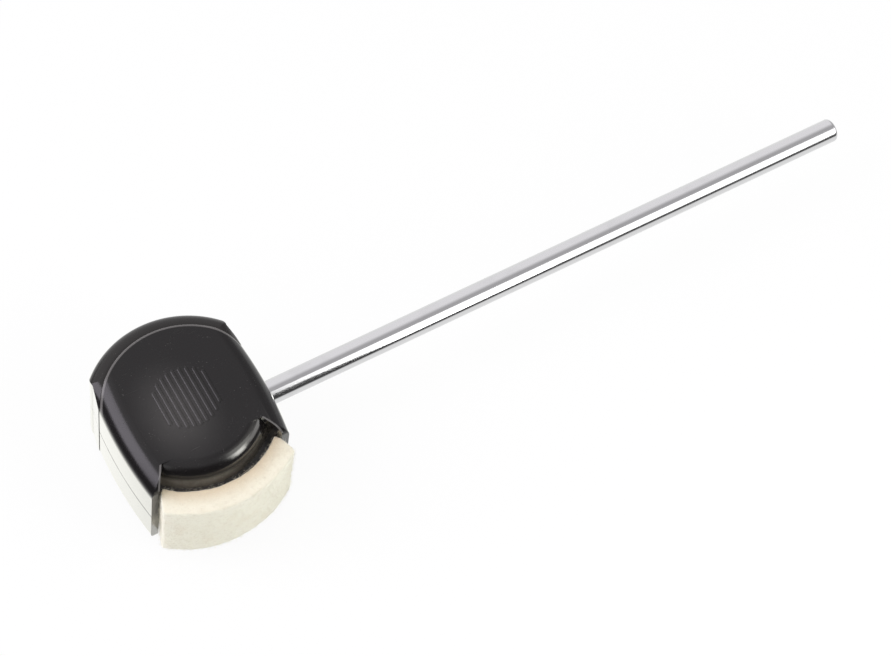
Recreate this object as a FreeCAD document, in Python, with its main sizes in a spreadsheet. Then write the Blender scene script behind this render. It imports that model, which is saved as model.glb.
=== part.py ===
import FreeCAD, Part
import os

import Sketcher

# Bass drum beater lying on its side, in millimetres.
# The origin is on the shaft axis where the shaft leaves the head: +X runs out along the shaft,
# -Y is the felt face, +Y the hard plastic face, and the two cheeks look along +Z and -Z.
# The head's own pieces are drawn about the head's centre and moved back by half its width.

SIZES = {
    # shaft
    "shaft_dia": 8.0,
    "shaft_reach": 217.5,
    "shaft_gap": 0.2,
    "end_round": 1.2,
    "spigot_dia": 6.0,
    "spigot_tail": 1.5,
    "spigot_chamfer": 0.5,
    "groove_depth": 0.6,
    "groove_play": 0.1,
    # fits
    "run_clear": 0.05,
    "slip": 0.05,
    "pass_clear": 0.3,
    # two shells of the head
    "head_width": 49.8,
    "side_bow": 130.0,
    "side_sweep": 45.0,
    "back_half": 24.4,
    "cheek_height": 20.0,
    "edge_round": 5.0,
    "side_round": 6.8,
    "wall": 4.2,
    "back_radius": 27.2,
    "back_centre": -0.6,
    "back_corner": 0.4,
    "back_edge": 0.4,
    "seam_edge": 0.25,
    "rim_radius": 25.0,
    "rim_centre": 2.06,
    "rim_sweep": 94.4,
    "rim_slope": 0.21,
    "lip_reach": 2.8,
    "lip_height": 11.2,
    "lip_thick": 2.0,
    "notch_back": 13.9,
    "leg_root_width": 8.0,
    "leg_reach": 20.3,
    "leg_corner": 1.0,
    "leg_tip_flat": 0.3,
    # felt and its plate
    "felt_half_thick": 14.0,
    "felt_inset": 2.6,
    "felt_radius": 36.0,
    "felt_side": 0.89,
    "felt_gap": 0.2,
    "felt_flare": 4.6,
    "felt_shoulder": 1.7,
    "felt_edge": 0.5,
    "felt_seat_wall": 1.5,
    "backing_thick": 1.5,
    # hard plastic striker
    "striker_radius": 32.0,
    "striker_thick": 5.45,
    "striker_step": 1.5,
    "striker_round": 4.8,
    "striker_arc_inset": 4.1,
    "striker_corner": 5.4,
    "striker_corner_out": 2.5,
    "striker_corner_drop": 5.45,
    "seat_gap": 0.15,
    "tongue_half": 8.0,
    "tongue_bar_half": 12.0,
    "tongue_bar_thick": 3.5,
    "tongue_cover": 5.6,
    "tongue_root": 0.45,
    "tongue_height": 5.0,
    # hub on the shaft's spigot
    "hub_length": 24.0,
    "hub_half": 8.0,
    "set_screw_dia": 4.0,
    "set_screw_length": 4.5,
    "set_screw_gap": 0.3,
    "set_screw_key": 2.0,
    "set_screw_key_depth": 2.0,
    "set_screw_place": 4.0,
    "washer_dia": 10.0,
    "washer_thick": 0.8,
    "washer_gap": 0.2,
    "clip_dia": 10.0,
    "clip_thick": 0.9,
    "clip_mouth": 4.2,
    "clip_room": 0.6,
    # screws that hold the shells together
    "screw_dia": 3.0,
    "screw_head_dia": 5.5,
    "screw_head_height": 2.0,
    "screw_key": 2.0,
    "screw_key_depth": 1.2,
    "screw_sink": 3.4,
    "screw_reach": 9.0,
    "screw_tip_room": 2.0,
    "insert_dia": 4.2,
    "insert_length": 6.0,
    "insert_sink": 0.3,
    "back_screw_x": 15.5,
    "back_screw_inset": 12.8,
    "front_screw_rib": 0.85,
    "front_screw_inset": 3.5,
    # hollow behind the hub
    "hollow_half": 10.5,
    "hollow_wall": 1.5,
    "hollow_depth": 5.5,
    "hollow_roof": 6.0,
}
# Distance below which two places count as one
SAME_PLACE = 1e-3

# Places that several pieces share, as expressions of the sheet
HALF = "(dims.head_width / 2)"
LEG_INNER = f"({HALF} - dims.wall)"
HUB_BACK = f"(-{HALF} - dims.hub_length / 2)"
WASHER_BACK = f"({HUB_BACK} - dims.washer_gap - dims.washer_thick)"
GROOVE_BACK = f"({WASHER_BACK} - dims.clip_thick - 2 * dims.groove_play)"
CLIP_BACK = f"({GROOVE_BACK} + dims.groove_play)"
GROOVE_RADIUS = "(dims.spigot_dia / 2 - dims.groove_depth)"
CLIP_ROOM_END = f"({CLIP_BACK} + {HALF} - dims.clip_room)"
LEG_ROOT = f"({HALF} - dims.leg_root_width)"
FELT_SEAT = "(dims.hub_half + dims.felt_seat_wall)"
FELT_SIDE = f"({LEG_INNER} - dims.felt_gap)"
FELT_ROOM = "(dims.lip_height - dims.lip_thick)"
FELT_TONGUE = f"({FELT_ROOM} - dims.felt_gap)"
BACK_CROWN = "(dims.back_centre + dims.back_radius)"
BAR_BACK = f"({BACK_CROWN} - dims.tongue_cover)"
BAR_FRONT = f"({BAR_BACK} - dims.tongue_bar_thick)"
STRIKER_HEIGHT = "(dims.cheek_height - dims.striker_step)"
STRIKER_CROWN = f"({BACK_CROWN} + dims.seat_gap + dims.striker_thick)"
STRIKER_CENTRE = f"({STRIKER_CROWN} - dims.striker_radius)"
BACK_SCREW_Y = f"({BACK_CROWN} - dims.back_screw_inset)"
FRONT_SCREW_X = f"(-{CLIP_ROOM_END} + dims.insert_dia / 2 + dims.front_screw_rib + dims.slip)"
FRONT_SCREW_Y = f"(dims.front_screw_inset - {FELT_SEAT})"
SCREW_SPOTS = [
    ("dims.back_screw_x", BACK_SCREW_Y),
    ("-dims.back_screw_x", BACK_SCREW_Y),
    (FRONT_SCREW_X, FRONT_SCREW_Y),
    (f"-{FRONT_SCREW_X}", FRONT_SCREW_Y),
]
BEYOND = "2 * dims.head_width"
UP = 1
DOWN = -1

doc = FreeCAD.newDocument("bass_drum_beater")
dims = doc.addObject("Spreadsheet::Sheet", "dims")
for row, (alias, size) in enumerate(SIZES.items(), 1):
    dims.set(f"A{row}", alias)
    dims.set(f"B{row}", str(size))
    dims.setAlias(f"B{row}", alias)
doc.recompute()


def value(text):
    """Number that an expression of the sheet gives."""
    return float(dims.evalExpression(text))


def bow_point(start, end, radius):
    """Middle of the arc from start to end that bulges to the right of its way, or left if radius < 0."""
    chord = end - start
    right = FreeCAD.Vector(chord.y, -chord.x, 0).normalize()
    bow = abs(radius) - (radius ** 2 - chord.Length ** 2 / 4) ** 0.5
    return (start + end) * 0.5 + right * (bow if radius > 0 else -bow)


def back_end(radius):
    """End of an arc round the head's back, a corner's width inside the side walls or the arc's own side."""
    across = f"(min(dims.back_half; {radius}) - dims.back_corner)"
    return across, f"(dims.back_centre + sqrt({radius} ^ 2 - {across} ^ 2))"


def new_body(name, in_head=True):
    """Body named as its piece; a piece of the head is drawn about the head's centre."""
    body = doc.addObject("PartDesign::Body", name)
    body.Label = name
    if in_head:
        body.setExpression("Placement.Base.x", f"-{HALF}")
    return body


def new_sketch(body, name, plane, offset="0", shift="0"):
    """Empty sketch on one of the body's own origin planes, moved along its normal and its first axis."""
    sketch = body.newObject("Sketcher::SketchObject", f"{body.Name}_{name}")
    support = [feature for feature in body.Origin.OriginFeatures if feature.Role == plane]
    sketch.AttachmentSupport = [(support[0], "")]
    sketch.MapMode = "FlatFace"
    sketch.setExpression("AttachmentOffset.Base.x", shift)
    sketch.setExpression("AttachmentOffset.Base.z", offset)
    return sketch


def bind_constraint(sketch, constraint, text):
    """Adds a dimension to the sketch and ties it to the sheet."""
    index = sketch.addConstraint(constraint)
    sketch.setExpression(f"Constraints[{index}]", text)


def outline(body, name, plane, corners, offset="0", shift="0"):
    """Closed profile through corners (x, y) or (x, y, radius of the arc that leaves the corner)."""
    sketch = new_sketch(body, name, plane, offset, shift)
    places = [FreeCAD.Vector(value(corner[0]), value(corner[1]), 0) for corner in corners]
    count = len(corners)
    ends = []
    for i, corner in enumerate(corners):
        start, end = places[i], places[(i + 1) % count]
        if len(corner) == 2:
            sketch.addGeometry(Part.LineSegment(start, end), False)
            ends.append((1, 2))
        else:
            radius = value(corner[2])
            middle = bow_point(start, end, radius)
            forward = radius > 0
            arc = Part.Arc(start, middle, end) if forward else Part.Arc(end, middle, start)
            sketch.addGeometry(arc, False)
            ends.append((1, 2) if forward else (2, 1))
    for i, corner in enumerate(corners):
        following = (i + 1) % count
        sketch.addConstraint(Sketcher.Constraint("Coincident", i, ends[i][1], following, ends[following][0]))
        for kind, text in (("DistanceX", corner[0]), ("DistanceY", corner[1])):
            bind_constraint(sketch, Sketcher.Constraint(kind, -1, 1, i, ends[i][0], value(text)), text)
        if len(corner) == 3:
            size = f"abs({corner[2]})"
            bind_constraint(sketch, Sketcher.Constraint("Radius", i, value(size)), size)
    return sketch


def rectangle(body, name, plane, low, high, offset="0"):
    """Rectangle between two corners."""
    corners = [low, (high[0], low[1]), high, (low[0], high[1])]
    return outline(body, name, plane, corners, offset)


def circles(body, name, plane, spots, radius, offset="0"):
    """Circles of one radius at several places."""
    sketch = new_sketch(body, name, plane, offset)
    for i, spot in enumerate(spots):
        centre = FreeCAD.Vector(value(spot[0]), value(spot[1]), 0)
        sketch.addGeometry(Part.Circle(centre, FreeCAD.Vector(0, 0, 1), value(radius)), False)
        for kind, text in (("DistanceX", spot[0]), ("DistanceY", spot[1])):
            bind_constraint(sketch, Sketcher.Constraint(kind, -1, 1, i, 3, value(text)), text)
        bind_constraint(sketch, Sketcher.Constraint("Radius", i, value(radius)), radius)
    return sketch


def hexagon(body, name, plane, across, offset="0"):
    """Hexagon about the origin, given across its flats."""
    far = f"({across} / sqrt(3))"
    half = f"({across} / 2)"
    corners = [(far, "0"), (f"{far} / 2", half), (f"-{far} / 2", half)]
    corners += [(f"-{far}", "0"), (f"-{far} / 2", f"-{half}"), (f"{far} / 2", f"-{half}")]
    return outline(body, name, plane, corners, offset)


def pad(body, sketch, length, way=UP, both=False):
    """Material along the sketch's normal, or against it."""
    feature = body.newObject("PartDesign::Pad", f"{sketch.Name}_pad")
    feature.Profile = sketch
    feature.SideType = "Symmetric" if both else "One side"
    feature.setExpression("Length", length)
    feature.Reversed = way == DOWN


def pocket(body, sketch, length, way=UP, both=False):
    """Cut along the sketch's normal, or against it; the volume has to fall."""
    doc.recompute()
    before = body.Shape.Volume
    feature = body.newObject("PartDesign::Pocket", f"{sketch.Name}_pocket")
    feature.Profile = sketch
    feature.SideType = "Symmetric" if both else "One side"
    feature.setExpression("Length", length)
    feature.Reversed = way == UP
    doc.recompute()
    assert body.Shape.Volume < before, f"{feature.Name} cuts nothing"


def revolve(body, sketch, axis="V_Axis", angle="360", cut=False):
    """Material, or a cut, turned about one of the sketch's axes, evenly to both sides."""
    doc.recompute()
    before = body.Shape.Volume if cut else 0
    kind = "Groove" if cut else "Revolution"
    feature = body.newObject(f"PartDesign::{kind}", f"{sketch.Name}_{kind.lower()}")
    feature.Profile = sketch
    feature.ReferenceAxis = (sketch, [axis])
    feature.Midplane = True
    feature.setExpression("Angle", angle)
    doc.recompute()
    assert not cut or body.Shape.Volume < before, f"{feature.Name} cuts nothing"


def round_edges(body, radius, chosen):
    """Fillet on the edges of the body for whose middle point chosen is true."""
    doc.recompute()
    names = []
    for i, edge in enumerate(body.Shape.Edges, 1):
        middle = edge.valueAt((edge.FirstParameter + edge.LastParameter) / 2)
        middle = body.Placement.inverse().multVec(middle)
        if chosen(middle):
            names.append(f"Edge{i}")
    feature = body.newObject("PartDesign::Fillet", f"{body.Name}_fillet")
    feature.Base = (body.Group[-2], names)
    feature.setExpression("Radius", radius)


def corner_profile(side, edge, top, radius, wall="0"):
    """Region outside a rounded corner at (edge, top) and a wall below it, open outwards; side is 1 or -1."""
    inner = f"{side} * ({edge} - {radius})"
    outer = f"{side} * ({edge} + {radius})"
    above = f"({top} + {radius})"
    low = f"({top} - {radius})"
    foot = f"({low} - {wall})"
    bulge = f"({side} * {radius})"
    corners = [
        (inner, above),
        (inner, top, f"-{bulge}"),
        (f"{side} * {edge}", low),
        (outer, foot),
        (outer, above),
    ]
    if wall != "0":
        corners.insert(3, (f"{side} * {edge}", foot))
    return corners


def upside_down(profile):
    """The same profile mirrored in its first axis."""
    return [(point[0], f"-({point[1]})") + tuple(f"-({radius})" for radius in point[2:]) for point in profile]


def make_shaft():
    """Rod with a rounded free end and, inside the head, a spigot with a groove for the clip."""
    body = new_body("shaft", in_head=False)
    rod = "(dims.shaft_dia / 2)"
    spigot = "(dims.spigot_dia / 2)"
    tail = f"({GROOVE_BACK} - dims.spigot_tail)"
    groove_front = WASHER_BACK
    profile = outline(body, "section", "XY_Plane", [
        (tail, "0"),
        ("dims.shaft_reach", "0"),
        ("dims.shaft_reach", f"{rod} - dims.end_round", "dims.end_round"),
        ("dims.shaft_reach - dims.end_round", rod),
        ("dims.shaft_gap", rod),
        ("dims.shaft_gap", spigot),
        (groove_front, spigot),
        (groove_front, GROOVE_RADIUS),
        (GROOVE_BACK, GROOVE_RADIUS),
        (GROOVE_BACK, spigot),
        (f"{tail} + dims.spigot_chamfer", spigot),
        (tail, f"{spigot} - dims.spigot_chamfer"),
    ])
    revolve(body, profile, "H_Axis")
    return body


def make_shell(name, way):
    """One half of the head: a cheek with its rounded rim over the felt, end walls and two legs."""
    body = new_body(name)
    across, end = back_end("dims.back_radius")
    front = "-dims.notch_back"
    side_end = f"{end} - dims.back_corner"
    block = outline(body, "block", "XY_Plane", [
        (f"-{HALF}", front),
        (HALF, front),
        (HALF, side_end),
        (across, end, "dims.back_radius"),
        (f"-{across}", end),
        (f"-{HALF}", side_end),
    ])
    pad(body, block, "dims.cheek_height", way)
    for side in (-1, 1):
        add_leg(body, side, way)
    add_rim(body, way)
    back = f"-{FELT_SEAT}"
    lip_corners = [(f"-{LEG_INNER}", back), *lip_bow(LEG_INNER, "0"), (LEG_INNER, back)]
    pad(body, outline(body, "lip", "XY_Plane", lip_corners), "dims.lip_height", way)
    round_shell(body, way)
    cut_room(body, way)
    return body


def round_shell(body, way):
    """Bows both side walls and rounds their edges, and breaks the edges at the striker and at the seam."""
    for side in (-1, 1):
        name = "right" if side > 0 else "left"
        axis = f"{side} * ({HALF} - dims.side_bow)"
        top = "dims.cheek_height"
        cheek = corner_profile(side, "dims.side_bow", top, "dims.side_round", wall=top)
        seam = upside_down(corner_profile(side, "dims.side_bow", "0", "dims.seam_edge"))
        for edge, profile in (("cheek_edge", cheek), ("seam_edge", seam)):
            turned = profile if way == UP else upside_down(profile)
            cut = outline(body, f"{edge}_{name}", "XZ_Plane", turned, shift=axis)
            revolve(body, cut, "V_Axis", "dims.side_sweep", cut=True)
    back = corner_profile(1, "dims.back_radius", "dims.cheek_height", "dims.back_edge")
    profile = back if way == UP else upside_down(back)
    section = outline(body, "back_edge", "YZ_Plane", profile, shift="dims.back_centre")
    revolve(body, section, "V_Axis", cut=True)


def lip_bow(across, gap):
    """Bowed edge of the lip that covers the felt's tongue, out to a distance from the middle."""
    radius = f"(dims.rim_radius + dims.lip_reach + {gap})"
    end = f"(dims.rim_centre - sqrt({radius} ^ 2 - {across} ^ 2))"
    return [(f"-{across}", end, radius), (across, end)]


def add_rim(body, way):
    """Front of the cheek: a sector with a rounded edge and a sloping wall, turned about the rim's centre."""
    tilt = "sqrt(1 + dims.rim_slope ^ 2)"
    flat = "(dims.rim_radius - dims.edge_round)"
    shoulder = f"({flat} + dims.edge_round / {tilt})"
    shoulder_height = f"(dims.cheek_height - dims.edge_round + dims.edge_round * dims.rim_slope / {tilt})"
    foot = f"({shoulder} + dims.rim_slope * ({shoulder_height} - dims.lip_height))"
    profile = [
        ("0", "0"),
        (f"-{foot}", "0"),
        (f"-{foot}", "dims.lip_height"),
        (f"-{shoulder}", shoulder_height, "-dims.edge_round"),
        (f"-{flat}", "dims.cheek_height"),
        ("0", "dims.cheek_height"),
    ]
    turned = profile if way == UP else upside_down(profile)
    section = outline(body, "rim", "YZ_Plane", turned, shift="dims.rim_centre")
    revolve(body, section, "V_Axis", "dims.rim_sweep")


def add_leg(body, side, way):
    """Leg beside the felt: wide at its root over the felt, with its upper end rounded as the rim is."""
    name = "right" if side > 0 else "left"
    outer = f"{side} * {HALF}"
    root = f"{side} * {LEG_ROOT}"
    behind = "(-dims.notch_back + dims.wall)"
    corner = "min(dims.leg_corner; dims.wall - dims.leg_tip_flat)"
    plan = outline(body, f"leg_{name}", "XY_Plane", [
        (outer, behind),
        (outer, f"-dims.leg_reach + {corner}", f"{-side} * {corner}"),
        (f"{side} * ({HALF} - {corner})", "-dims.leg_reach"),
        (f"{side} * {LEG_INNER}", "-dims.leg_reach"),
        (root, "-dims.notch_back"),
        (root, behind),
    ])
    pad(body, plan, "dims.cheek_height", way)
    end = corner_profile(-1, "dims.leg_reach", "dims.cheek_height", "dims.edge_round")
    cut = outline(body, f"leg_end_{name}", "YZ_Plane", end if way == UP else upside_down(end), root)
    pocket(body, cut, "dims.head_width", UP if side > 0 else DOWN)


def cut_room(body, way):
    """Space in a shell for the felt, the hub, the clip, the shaft, the striker's tongue and the screws."""
    low = (f"-{LEG_INNER}", f"-{BEYOND}")
    felt = rectangle(body, "felt_room", "XY_Plane", low, (LEG_INNER, f"-{FELT_SEAT}"))
    pocket(body, felt, FELT_ROOM, way)

    hub_end = "(dims.hub_length / 2 + dims.slip)"
    hub_side = "(dims.hub_half + dims.slip)"
    hub = rectangle(body, "hub_room", "XY_Plane", (f"-{hub_end}", f"-{hub_side}"), (hub_end, hub_side))
    pocket(body, hub, hub_side, way)

    clip_side = "(max(dims.clip_dia; dims.washer_dia) / 2 + dims.clip_room)"
    low = (CLIP_ROOM_END, f"-{clip_side}")
    clip = rectangle(body, "clip_room", "XY_Plane", low, (f"-{hub_end}", clip_side))
    pocket(body, clip, clip_side, way)

    tail_end = f"({GROOVE_BACK} + {HALF} - dims.spigot_tail - dims.clip_room)"
    bore_radius = "dims.spigot_dia / 2 + dims.pass_clear"
    bore = circles(body, "shaft_room", "YZ_Plane", [("0", "0")], bore_radius, tail_end)
    pocket(body, bore, BEYOND, UP)

    bar_half = "(dims.tongue_bar_half + dims.slip)"
    bar_front = f"({BAR_FRONT} - dims.slip)"
    bar_back = f"({BAR_BACK} + dims.slip)"
    neck = "(dims.tongue_half + dims.slip)"
    tongue = outline(body, "tongue_room", "XY_Plane", [
        (f"-{bar_half}", bar_front),
        (bar_half, bar_front),
        (bar_half, bar_back),
        (neck, bar_back),
        (neck, BEYOND),
        (f"-{neck}", BEYOND),
        (f"-{neck}", bar_back),
        (f"-{bar_half}", bar_back),
    ])
    pocket(body, tongue, "dims.tongue_height + dims.slip", way)

    low = ("-dims.hollow_half", "dims.hub_half + dims.hollow_wall")
    high = ("dims.hollow_half", f"{low[1]} + dims.hollow_depth")
    hollow = rectangle(body, "hollow", "XY_Plane", low, high)
    pocket(body, hollow, "dims.cheek_height - dims.hollow_roof", way)
    if way == UP:
        cut_insert_holes(body)
    else:
        cut_screw_holes(body)


def cut_insert_holes(body):
    """Blind holes in the upper shell for the inserts and, beyond them, the screws' ends."""
    sockets = circles(body, "insert_holes", "XY_Plane", SCREW_SPOTS, "dims.insert_dia / 2 + dims.slip")
    pocket(body, sockets, "dims.insert_sink + dims.insert_length + dims.slip", UP)
    tips = circles(body, "screw_tips", "XY_Plane", SCREW_SPOTS, "dims.screw_dia / 2 + dims.slip")
    pocket(body, tips, "dims.screw_reach + dims.screw_tip_room", UP)


def cut_screw_holes(body):
    """Through holes with sunk seats in the lower shell, and the way in to the set screw."""
    shanks = circles(body, "screw_holes", "XY_Plane", SCREW_SPOTS, "dims.screw_dia / 2 + dims.slip")
    pocket(body, shanks, "dims.cheek_height", DOWN)
    seat_radius = "dims.screw_head_dia / 2 + dims.pass_clear"
    seats = circles(body, "screw_seats", "XY_Plane", SCREW_SPOTS, seat_radius, "-dims.cheek_height")
    pocket(body, seats, "dims.screw_sink", UP)
    key_radius = "dims.set_screw_dia / 2 + dims.slip"
    key_way = circles(body, "key_way", "XY_Plane", [("dims.set_screw_place", "0")], key_radius)
    pocket(body, key_way, "dims.cheek_height", DOWN)


def make_felt():
    """Felt block: a tongue under the lips and, beyond them, a thicker pad with a bowed front."""
    body = new_body("felt_pad")
    back = f"(-{FELT_SEAT} - dims.backing_thick)"
    neck = "(-dims.leg_reach - dims.felt_gap)"
    shoulder = f"({neck} - dims.felt_flare)"
    front = f"({shoulder} - dims.felt_side)"
    wide = f"({HALF} - dims.felt_inset)"
    block = outline(body, "plan", "XY_Plane", [
        (f"-{FELT_SIDE}", back),
        (f"-{FELT_SIDE}", neck),
        (f"-{wide}", shoulder),
        (f"-{wide}", front, "dims.felt_radius"),
        (wide, front),
        (wide, shoulder),
        (FELT_SIDE, neck),
        (FELT_SIDE, back),
    ])
    pad(body, block, "2 * dims.felt_half_thick", both=True)
    shoulder_in = f"({LEG_INNER} - dims.felt_shoulder)"
    room = [(f"-{HALF}", back), (f"-{HALF}", neck), (f"-{FELT_SIDE}", neck)]
    room += lip_bow(shoulder_in, "dims.felt_gap")
    room += [(FELT_SIDE, neck), (HALF, neck), (HALF, back)]
    for way, end, offset in ((UP, "top", FELT_TONGUE), (DOWN, "bottom", f"-{FELT_TONGUE}")):
        lip = outline(body, f"lip_room_{end}", "XY_Plane", room, offset)
        pocket(body, lip, "dims.felt_half_thick", way)
    front_y = value(front)
    round_edges(body, "dims.felt_edge", lambda middle: middle.y < front_y + SAME_PLACE)
    return body


def make_backing():
    """Plate behind the felt, against its seat in the shells."""
    body = new_body("felt_backing")
    low = (f"-{FELT_SIDE}", f"-{FELT_SEAT} - dims.backing_thick")
    plate = rectangle(body, "plan", "XY_Plane", low, (FELT_SIDE, f"-{FELT_SEAT}"))
    pad(body, plate, f"2 * {FELT_TONGUE}", both=True)
    return body


def make_striker():
    """Hard plastic piece round the back of the shells, held by a tongue with a cross bar."""
    body = new_body("plastic_striker")
    inner_radius = "(dims.back_radius + dims.seat_gap)"
    across, end = back_end(inner_radius)
    arc_half = "(dims.back_half - dims.striker_arc_inset)"
    arc_end = f"({STRIKER_CENTRE} + sqrt(dims.striker_radius ^ 2 - {arc_half} ^ 2))"
    side = f"({arc_half} + dims.striker_corner_out)"
    side_end = f"({arc_end} - dims.striker_corner_drop)"
    crescent = outline(body, "plan", "XY_Plane", [
        (across, end),
        ("dims.back_half", end),
        (side, side_end, "dims.striker_corner"),
        (arc_half, arc_end, "dims.striker_radius"),
        (f"-{arc_half}", arc_end, "dims.striker_corner"),
        (f"-{side}", side_end),
        ("-dims.back_half", end),
        (f"-{across}", end, f"-{inner_radius}"),
    ])
    pad(body, crescent, f"2 * {STRIKER_HEIGHT}", both=True)
    root = f"({BACK_CROWN} + dims.seat_gap + dims.tongue_root)"
    tongue = outline(body, "tongue", "XY_Plane", [
        ("-dims.tongue_bar_half", BAR_FRONT),
        ("dims.tongue_bar_half", BAR_FRONT),
        ("dims.tongue_bar_half", BAR_BACK),
        ("dims.tongue_half", BAR_BACK),
        ("dims.tongue_half", root),
        ("-dims.tongue_half", root),
        ("-dims.tongue_half", BAR_BACK),
        ("-dims.tongue_bar_half", BAR_BACK),
    ])
    pad(body, tongue, "2 * dims.tongue_height", both=True)
    for way in (UP, DOWN):
        round_striker(body, way)
    return body


def round_striker(body, way):
    """Rounds the striker's outer edge on one cheek: round the back, then along both ends."""
    end = "top" if way == UP else "bottom"
    back = corner_profile(1, "dims.striker_radius", STRIKER_HEIGHT, "dims.striker_round")
    profile = back if way == UP else upside_down(back)
    section = outline(body, f"back_{end}", "YZ_Plane", profile, shift=STRIKER_CENTRE)
    revolve(body, section, "V_Axis", cut=True)
    for side in (-1, 1):
        profile = corner_profile(side, "dims.back_half", STRIKER_HEIGHT, "dims.striker_round")
        name = f"end_{end}_right" if side > 0 else f"end_{end}_left"
        cut = outline(body, name, "XZ_Plane", profile if way == UP else upside_down(profile))
        pocket(body, cut, BEYOND, both=True)


def make_hub():
    """Block that the shaft's spigot turns in, with the set screw's thread on its lower side."""
    body = new_body("hub_block")
    end = "(dims.hub_length / 2)"
    block = rectangle(body, "plan", "XY_Plane", (f"-{end}", "-dims.hub_half"), (end, "dims.hub_half"))
    pad(body, block, "2 * dims.hub_half", both=True)
    bore = circles(body, "bore", "YZ_Plane", [("0", "0")], "dims.spigot_dia / 2 + dims.run_clear")
    pocket(body, bore, BEYOND, both=True)
    thread_radius = "dims.set_screw_dia / 2 + dims.slip"
    thread = circles(body, "thread", "XY_Plane", [("dims.set_screw_place", "0")], thread_radius)
    pocket(body, thread, BEYOND, DOWN)
    return body


def make_set_screw():
    """Grub screw under the spigot, backed off by a small gap, with a key socket in its lower end."""
    body = new_body("set_screw")
    body.setExpression("Placement.Base.x", f"-{HALF} + dims.set_screw_place")
    tip = "(-dims.spigot_dia / 2 - dims.set_screw_gap)"
    foot = f"({tip} - dims.set_screw_length)"
    section = rectangle(body, "section", "XZ_Plane", ("0", foot), ("dims.set_screw_dia / 2", tip))
    revolve(body, section)
    key = hexagon(body, "key", "XY_Plane", "dims.set_screw_key", foot)
    pocket(body, key, "dims.set_screw_key_depth", UP)
    return body


def make_washer():
    """Washer between the hub and the clip."""
    body = new_body("thrust_washer", in_head=False)
    low = (WASHER_BACK, "dims.spigot_dia / 2 + dims.run_clear")
    high = (f"{WASHER_BACK} + dims.washer_thick", "dims.washer_dia / 2")
    revolve(body, rectangle(body, "section", "XY_Plane", low, high), "H_Axis")
    return body


def make_clip():
    """Open clip in the spigot's groove."""
    body = new_body("retaining_clip", in_head=False)
    low = (CLIP_BACK, f"{GROOVE_RADIUS} + dims.slip")
    high = (f"{CLIP_BACK} + dims.clip_thick", "dims.clip_dia / 2")
    revolve(body, rectangle(body, "section", "XY_Plane", low, high), "H_Axis")
    low = ("-dims.clip_mouth / 2", "-dims.clip_dia")
    mouth = rectangle(body, "mouth", "YZ_Plane", low, ("dims.clip_mouth / 2", "0"), CLIP_BACK)
    pocket(body, mouth, "dims.clip_thick", UP)
    return body


def at_screw_spots(name, make):
    """Group of one piece at each of the screw places."""
    copies = []
    for i, (x, y) in enumerate(SCREW_SPOTS, 1):
        body = new_body(f"{name}_{i}")
        body.setExpression("Placement.Base.x", f"-{HALF} + {x}")
        body.setExpression("Placement.Base.y", y)
        make(body)
        copies.append(body)
    group = doc.addObject("Part::Compound", name)
    group.Label = name
    group.Links = copies
    return group


def shell_screw(body):
    """Screw with a sunk head in the lower cheek, reaching up through the insert."""
    seat = "(dims.screw_sink - dims.cheek_height)"
    foot = f"({seat} - dims.screw_head_height)"
    section = outline(body, "section", "XZ_Plane", [
        ("0", foot),
        ("dims.screw_head_dia / 2", foot),
        ("dims.screw_head_dia / 2", seat),
        ("dims.screw_dia / 2", seat),
        ("dims.screw_dia / 2", "dims.screw_reach"),
        ("0", "dims.screw_reach"),
    ])
    revolve(body, section)
    key = hexagon(body, "key", "XY_Plane", "dims.screw_key", foot)
    pocket(body, key, "dims.screw_key_depth", UP)


def threaded_insert(body):
    """Brass sleeve in the upper shell."""
    low = ("dims.screw_dia / 2 + dims.slip", "dims.insert_sink")
    high = ("dims.insert_dia / 2", "dims.insert_sink + dims.insert_length")
    revolve(body, rectangle(body, "section", "XZ_Plane", low, high))


pieces = [
    make_shaft(),
    make_shell("upper_shell", UP),
    make_shell("lower_shell", DOWN),
    make_felt(),
    make_backing(),
    make_striker(),
    make_hub(),
    make_set_screw(),
    make_washer(),
    make_clip(),
    at_screw_spots("shell_screws", shell_screw),
    at_screw_spots("threaded_inserts", threaded_insert),
]
doc.recompute()

for item in doc.Objects:
    if "Invalid" in item.State or "Error" in item.State:
        raise RuntimeError(f"{item.Name} failed: {item.State}")
for piece in pieces:
    if piece.Shape.isNull() or not piece.Shape.isValid():
        raise RuntimeError(f"{piece.Label} has no valid shape")

os.makedirs("parts", exist_ok=True)
for piece in pieces:
    piece.Shape.exportStep(f"parts/{piece.Label}.step")
    box = piece.Shape.BoundBox
    low = f"{box.XMin:.2f} {box.YMin:.2f} {box.ZMin:.2f}"
    high = f"{box.XMax:.2f} {box.YMax:.2f} {box.ZMax:.2f}"
    print(f"{piece.Label}: {len(piece.Shape.Solids)} solids, {piece.Shape.Volume:.0f} mm3, {low} to {high}")
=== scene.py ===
import math

import bmesh
import bpy
from bpy.props import FloatProperty, FloatVectorProperty, IntProperty, PointerProperty
from mathutils import Matrix, Vector, noise


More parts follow.
